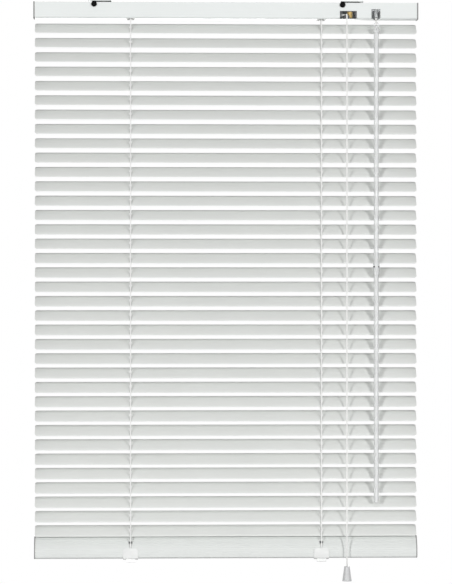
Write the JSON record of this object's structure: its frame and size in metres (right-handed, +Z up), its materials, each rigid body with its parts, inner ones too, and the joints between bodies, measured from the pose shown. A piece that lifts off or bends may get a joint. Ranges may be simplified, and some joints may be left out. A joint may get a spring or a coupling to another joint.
{
  "type": "venetian blind",
  "caption": "Horizontal slatted window blind under a folded headrail, with a tilt wand, a pull cord through a cord lock, ladder cords and a weighted bottom rail.",
  "frame": {"origin": "middle of the two bracket plates' top faces, midway between their screw holes, where the blind meets the ceiling", "axes": "+X along the headrail to the wand's side, +Z up, -Y towards the room"},
  "size_m": [0.5922, 0.0394, 0.8926],
  "materials": {
    "white_steel": "white enamel",
    "white_slat": "white baked enamel on aluminium strip",
    "white_rail": "white enamel on a ribbed aluminium extrusion",
    "white_plastic": "moulded white plastic",
    "grey_plastic": "moulded grey plastic",
    "black_latch": "black moulded plastic",
    "clear_plastic": "clear moulded plastic",
    "frosted_plastic": "milky translucent plastic",
    "steel": "zinc-plated steel",
    "brass": "plain brass",
    "white_cord": "braided white polyester"
  },
  "bodies": {
    "headrail": {"headrail": "white_steel", "end_caps": "grey_plastic", "mounting_brackets": "white_steel", "ladder_cradles": "white_plastic", "tilter_housing": "clear_plastic", "cord_lock_body": "steel", "lift_cords": "white_cord", "ladder_cords": "white_cord"},
    "latch_left": {"latch_left": "black_latch"},
    "latch_right": {"latch_right": "black_latch"},
    "tilt_shaft": {"tilt_rod": "steel", "tilt_drums": "white_plastic", "worm_wheel": "white_plastic"},
    "worm": {"worm": "white_plastic"},
    "wand_hook": {"wand_hook": "steel"},
    "wand": {"wand_head": "clear_plastic", "wand_rods": "clear_plastic", "wand_joint": "clear_plastic"},
    "cord_roller": {"cord_lock_roller": "brass"},
    "pull_cord": {"pull_cord": "white_cord", "tassel": "frosted_plastic"},
    "bottom_rail": {"bottom_rail": "white_rail", "bottom_rail_caps": "grey_plastic", "ladder_clips": "clear_plastic"},
    "slat_01": {"slat_01": "white_slat"},
    "slat_02": {"slat_02": "white_slat"},
    "slat_03": {"slat_03": "white_slat"},
    "slat_04": {"slat_04": "white_slat"},
    "slat_05": {"slat_05": "white_slat"},
    "slat_06": {"slat_06": "white_slat"},
    "slat_07": {"slat_07": "white_slat"},
    "slat_08": {"slat_08": "white_slat"},
    "slat_09": {"slat_09": "white_slat"},
    "slat_10": {"slat_10": "white_slat"},
    "slat_11": {"slat_11": "white_slat"},
    "slat_12": {"slat_12": "white_slat"},
    "slat_13": {"slat_13": "white_slat"},
    "slat_14": {"slat_14": "white_slat"},
    "slat_15": {"slat_15": "white_slat"},
    "slat_16": {"slat_16": "white_slat"},
    "slat_17": {"slat_17": "white_slat"},
    "slat_18": {"slat_18": "white_slat"},
    "slat_19": {"slat_19": "white_slat"},
    "slat_20": {"slat_20": "white_slat"},
    "slat_21": {"slat_21": "white_slat"},
    "slat_22": {"slat_22": "white_slat"},
    "slat_23": {"slat_23": "white_slat"},
    "slat_24": {"slat_24": "white_slat"},
    "slat_25": {"slat_25": "white_slat"},
    "slat_26": {"slat_26": "white_slat"},
    "slat_27": {"slat_27": "white_slat"},
    "slat_28": {"slat_28": "white_slat"},
    "slat_29": {"slat_29": "white_slat"},
    "slat_30": {"slat_30": "white_slat"},
    "slat_31": {"slat_31": "white_slat"},
    "slat_32": {"slat_32": "white_slat"},
    "slat_33": {"slat_33": "white_slat"},
    "slat_34": {"slat_34": "white_slat"},
    "slat_35": {"slat_35": "white_slat"},
    "slat_36": {"slat_36": "white_slat"}
  },
  "joints": [
    {"name": "latch_left_turn", "type": "hinge", "parent": "headrail", "child": "latch_left", "pos_m": [-0.191, 0, -0.002], "axis": [0, 0, 1], "range_deg": [0, 60]},
    {"name": "latch_right_turn", "type": "hinge", "parent": "headrail", "child": "latch_right", "pos_m": [0.191, 0, -0.002], "axis": [0, 0, 1], "range_deg": [0, 60]},
    {"name": "wand_turn", "type": "hinge", "parent": "headrail", "child": "wand_hook", "pos_m": [0.2306, -0.01871, -0.03484], "axis": [0, 0, 1], "range_deg": [-1800, 360], "deforming": ["ladder_cords", "lift_cords"]},
    {"name": "worm_turn", "type": "hinge", "parent": "headrail", "child": "worm", "pos_m": [0.2306, -0.00695, -0.01176], "axis": [0, 0.454, 0.891], "range_deg": [-1800, 360]},
    {"name": "shaft_turn", "type": "hinge", "parent": "headrail", "child": "tilt_shaft", "pos_m": [0, 0, -0.0153], "axis": [1, 0, 0], "range_deg": [-150, 30]},
    {"name": "slat_01_tilt", "type": "hinge", "parent": "headrail", "child": "slat_01", "pos_m": [0, 0, -0.0411], "axis": [1, 0, 0], "range_deg": [-100, 20]},
    {"name": "slat_02_tilt", "type": "hinge", "parent": "headrail", "child": "slat_02", "pos_m": [0, 0, -0.0632], "axis": [1, 0, 0], "range_deg": [-100, 20]},
    {"name": "slat_03_tilt", "type": "hinge", "parent": "headrail", "child": "slat_03", "pos_m": [0, 0, -0.0853], "axis": [1, 0, 0], "range_deg": [-100, 20]},
    {"name": "slat_04_tilt", "type": "hinge", "parent": "headrail", "child": "slat_04", "pos_m": [0, 0, -0.1074], "axis": [1, 0, 0], "range_deg": [-100, 20]},
    {"name": "slat_05_tilt", "type": "hinge", "parent": "headrail", "child": "slat_05", "pos_m": [0, 0, -0.1295], "axis": [1, 0, 0], "range_deg": [-100, 20]},
    {"name": "slat_06_tilt", "type": "hinge", "parent": "headrail", "child": "slat_06", "pos_m": [0, 0, -0.1516], "axis": [1, 0, 0], "range_deg": [-100, 20]},
    {"name": "slat_07_tilt", "type": "hinge", "parent": "headrail", "child": "slat_07", "pos_m": [0, 0, -0.1737], "axis": [1, 0, 0], "range_deg": [-100, 20]},
    {"name": "slat_08_tilt", "type": "hinge", "parent": "headrail", "child": "slat_08", "pos_m": [0, 0, -0.1958], "axis": [1, 0, 0], "range_deg": [-100, 20]},
    {"name": "slat_09_tilt", "type": "hinge", "parent": "headrail", "child": "slat_09", "pos_m": [0, 0, -0.2179], "axis": [1, 0, 0], "range_deg": [-100, 20]},
    {"name": "slat_10_tilt", "type": "hinge", "parent": "headrail", "child": "slat_10", "pos_m": [0, 0, -0.24], "axis": [1, 0, 0], "range_deg": [-100, 20]},
    {"name": "slat_11_tilt", "type": "hinge", "parent": "headrail", "child": "slat_11", "pos_m": [0, 0, -0.2621], "axis": [1, 0, 0], "range_deg": [-100, 20]},
    {"name": "slat_12_tilt", "type": "hinge", "parent": "headrail", "child": "slat_12", "pos_m": [0, 0, -0.2842], "axis": [1, 0, 0], "range_deg": [-100, 20]},
    {"name": "slat_13_tilt", "type": "hinge", "parent": "headrail", "child": "slat_13", "pos_m": [0, 0, -0.3063], "axis": [1, 0, 0], "range_deg": [-100, 20]},
    {"name": "slat_14_tilt", "type": "hinge", "parent": "headrail", "child": "slat_14", "pos_m": [0, 0, -0.3284], "axis": [1, 0, 0], "range_deg": [-100, 20]},
    {"name": "slat_15_tilt", "type": "hinge", "parent": "headrail", "child": "slat_15", "pos_m": [0, 0, -0.3505], "axis": [1, 0, 0], "range_deg": [-100, 20]},
    {"name": "slat_16_tilt", "type": "hinge", "parent": "headrail", "child": "slat_16", "pos_m": [0, 0, -0.3726], "axis": [1, 0, 0], "range_deg": [-100, 20]},
    {"name": "slat_17_tilt", "type": "hinge", "parent": "headrail", "child": "slat_17", "pos_m": [0, 0, -0.3947], "axis": [1, 0, 0], "range_deg": [-100, 20]},
    {"name": "slat_18_tilt", "type": "hinge", "parent": "headrail", "child": "slat_18", "pos_m": [0, 0, -0.4168], "axis": [1, 0, 0], "range_deg": [-100, 20]},
    {"name": "slat_19_tilt", "type": "hinge", "parent": "headrail", "child": "slat_19", "pos_m": [0, 0, -0.4389], "axis": [1, 0, 0], "range_deg": [-100, 20]},
    {"name": "slat_20_tilt", "type": "hinge", "parent": "headrail", "child": "slat_20", "pos_m": [0, 0, -0.461], "axis": [1, 0, 0], "range_deg": [-100, 20]},
    {"name": "slat_21_tilt", "type": "hinge", "parent": "headrail", "child": "slat_21", "pos_m": [0, 0, -0.4831], "axis": [1, 0, 0], "range_deg": [-100, 20]},
    {"name": "slat_22_tilt", "type": "hinge", "parent": "headrail", "child": "slat_22", "pos_m": [0, 0, -0.5052], "axis": [1, 0, 0], "range_deg": [-100, 20]},
    {"name": "slat_23_tilt", "type": "hinge", "parent": "headrail", "child": "slat_23", "pos_m": [0, 0, -0.5273], "axis": [1, 0, 0], "range_deg": [-100, 20]},
    {"name": "slat_24_tilt", "type": "hinge", "parent": "headrail", "child": "slat_24", "pos_m": [0, 0, -0.5494], "axis": [1, 0, 0], "range_deg": [-100, 20]},
    {"name": "slat_25_tilt", "type": "hinge", "parent": "headrail", "child": "slat_25", "pos_m": [0, 0, -0.5715], "axis": [1, 0, 0], "range_deg": [-100, 20]},
    {"name": "slat_26_tilt", "type": "hinge", "parent": "headrail", "child": "slat_26", "pos_m": [0, 0, -0.5936], "axis": [1, 0, 0], "range_deg": [-100, 20]},
    {"name": "slat_27_tilt", "type": "hinge", "parent": "headrail", "child": "slat_27", "pos_m": [0, 0, -0.6157], "axis": [1, 0, 0], "range_deg": [-100, 20]},
    {"name": "slat_28_tilt", "type": "hinge", "parent": "headrail", "child": "slat_28", "pos_m": [0, 0, -0.6378], "axis": [1, 0, 0], "range_deg": [-100, 20]},
    {"name": "slat_29_tilt", "type": "hinge", "parent": "headrail", "child": "slat_29", "pos_m": [0, 0, -0.6599], "axis": [1, 0, 0], "range_deg": [-100, 20]},
    {"name": "slat_30_tilt", "type": "hinge", "parent": "headrail", "child": "slat_30", "pos_m": [0, 0, -0.682], "axis": [1, 0, 0], "range_deg": [-100, 20]},
    {"name": "slat_31_tilt", "type": "hinge", "parent": "headrail", "child": "slat_31", "pos_m": [0, 0, -0.7041], "axis": [1, 0, 0], "range_deg": [-100, 20]},
    {"name": "slat_32_tilt", "type": "hinge", "parent": "headrail", "child": "slat_32", "pos_m": [0, 0, -0.7262], "axis": [1, 0, 0], "range_deg": [-100, 20]},
    {"name": "slat_33_tilt", "type": "hinge", "parent": "headrail", "child": "slat_33", "pos_m": [0, 0, -0.7483], "axis": [1, 0, 0], "range_deg": [-100, 20]},
    {"name": "slat_34_tilt", "type": "hinge", "parent": "headrail", "child": "slat_34", "pos_m": [0, 0, -0.7704], "axis": [1, 0, 0], "range_deg": [-100, 20]},
    {"name": "slat_35_tilt", "type": "hinge", "parent": "headrail", "child": "slat_35", "pos_m": [0, 0, -0.7925], "axis": [1, 0, 0], "range_deg": [-100, 20]},
    {"name": "slat_36_tilt", "type": "hinge", "parent": "headrail", "child": "slat_36", "pos_m": [0, 0, -0.8146], "axis": [1, 0, 0], "range_deg": [-100, 20]},
    {"name": "rail_tilt", "type": "hinge", "parent": "headrail", "child": "bottom_rail", "pos_m": [0, 0.001, -0.8416], "axis": [1, 0, 0], "range_deg": [-100, 20]},
    {"name": "wand_swing", "type": "hinge", "parent": "wand_hook", "child": "wand", "pos_m": [0.2306, -0.01871, -0.04564], "axis": [-1, 0, 0], "range_deg": [0, 40]},
    {"name": "cord_swing", "type": "hinge", "parent": "headrail", "child": "pull_cord", "pos_m": [0.1854, -0.0185, -0.0215], "axis": [0, 1, 0], "range_deg": [0, 25]},
    {"name": "roller_slide", "type": "slide", "parent": "headrail", "child": "cord_roller", "axis": [1, 0, 0], "range_m": [0, 0.0025]}
  ],
  "couplings": [
    {"joint": "worm_turn", "follows": "wand_turn", "ratio": 1},
    {"joint": "shaft_turn", "follows": "wand_turn", "ratio": 0.083333},
    {"joint": "slat_01_tilt", "follows": "wand_turn", "ratio": 0.055556},
    {"joint": "slat_02_tilt", "follows": "wand_turn", "ratio": 0.055556},
    {"joint": "slat_03_tilt", "follows": "wand_turn", "ratio": 0.055556},
    {"joint": "slat_04_tilt", "follows": "wand_turn", "ratio": 0.055556},
    {"joint": "slat_05_tilt", "follows": "wand_turn", "ratio": 0.055556},
    {"joint": "slat_06_tilt", "follows": "wand_turn", "ratio": 0.055556},
    {"joint": "slat_07_tilt", "follows": "wand_turn", "ratio": 0.055556},
    {"joint": "slat_08_tilt", "follows": "wand_turn", "ratio": 0.055556},
    {"joint": "slat_09_tilt", "follows": "wand_turn", "ratio": 0.055556},
    {"joint": "slat_10_tilt", "follows": "wand_turn", "ratio": 0.055556},
    {"joint": "slat_11_tilt", "follows": "wand_turn", "ratio": 0.055556},
    {"joint": "slat_12_tilt", "follows": "wand_turn", "ratio": 0.055556},
    {"joint": "slat_13_tilt", "follows": "wand_turn", "ratio": 0.055556},
    {"joint": "slat_14_tilt", "follows": "wand_turn", "ratio": 0.055556},
    {"joint": "slat_15_tilt", "follows": "wand_turn", "ratio": 0.055556},
    {"joint": "slat_16_tilt", "follows": "wand_turn", "ratio": 0.055556},
    {"joint": "slat_17_tilt", "follows": "wand_turn", "ratio": 0.055556},
    {"joint": "slat_18_tilt", "follows": "wand_turn", "ratio": 0.055556},
    {"joint": "slat_19_tilt", "follows": "wand_turn", "ratio": 0.055556},
    {"joint": "slat_20_tilt", "follows": "wand_turn", "ratio": 0.055556},
    {"joint": "slat_21_tilt", "follows": "wand_turn", "ratio": 0.055556},
    {"joint": "slat_22_tilt", "follows": "wand_turn", "ratio": 0.055556},
    {"joint": "slat_23_tilt", "follows": "wand_turn", "ratio": 0.055556},
    {"joint": "slat_24_tilt", "follows": "wand_turn", "ratio": 0.055556},
    {"joint": "slat_25_tilt", "follows": "wand_turn", "ratio": 0.055556},
    {"joint": "slat_26_tilt", "follows": "wand_turn", "ratio": 0.055556},
    {"joint": "slat_27_tilt", "follows": "wand_turn", "ratio": 0.055556},
    {"joint": "slat_28_tilt", "follows": "wand_turn", "ratio": 0.055556},
    {"joint": "slat_29_tilt", "follows": "wand_turn", "ratio": 0.055556},
    {"joint": "slat_30_tilt", "follows": "wand_turn", "ratio": 0.055556},
    {"joint": "slat_31_tilt", "follows": "wand_turn", "ratio": 0.055556},
    {"joint": "slat_32_tilt", "follows": "wand_turn", "ratio": 0.055556},
    {"joint": "slat_33_tilt", "follows": "wand_turn", "ratio": 0.055556},
    {"joint": "slat_34_tilt", "follows": "wand_turn", "ratio": 0.055556},
    {"joint": "slat_35_tilt", "follows": "wand_turn", "ratio": 0.055556},
    {"joint": "slat_36_tilt", "follows": "wand_turn", "ratio": 0.055556},
    {"joint": "rail_tilt", "follows": "wand_turn", "ratio": 0.055556},
    {"joint": "roller_slide", "follows": "cord_swing", "m_per_rad": 0.0057296}
  ]
}
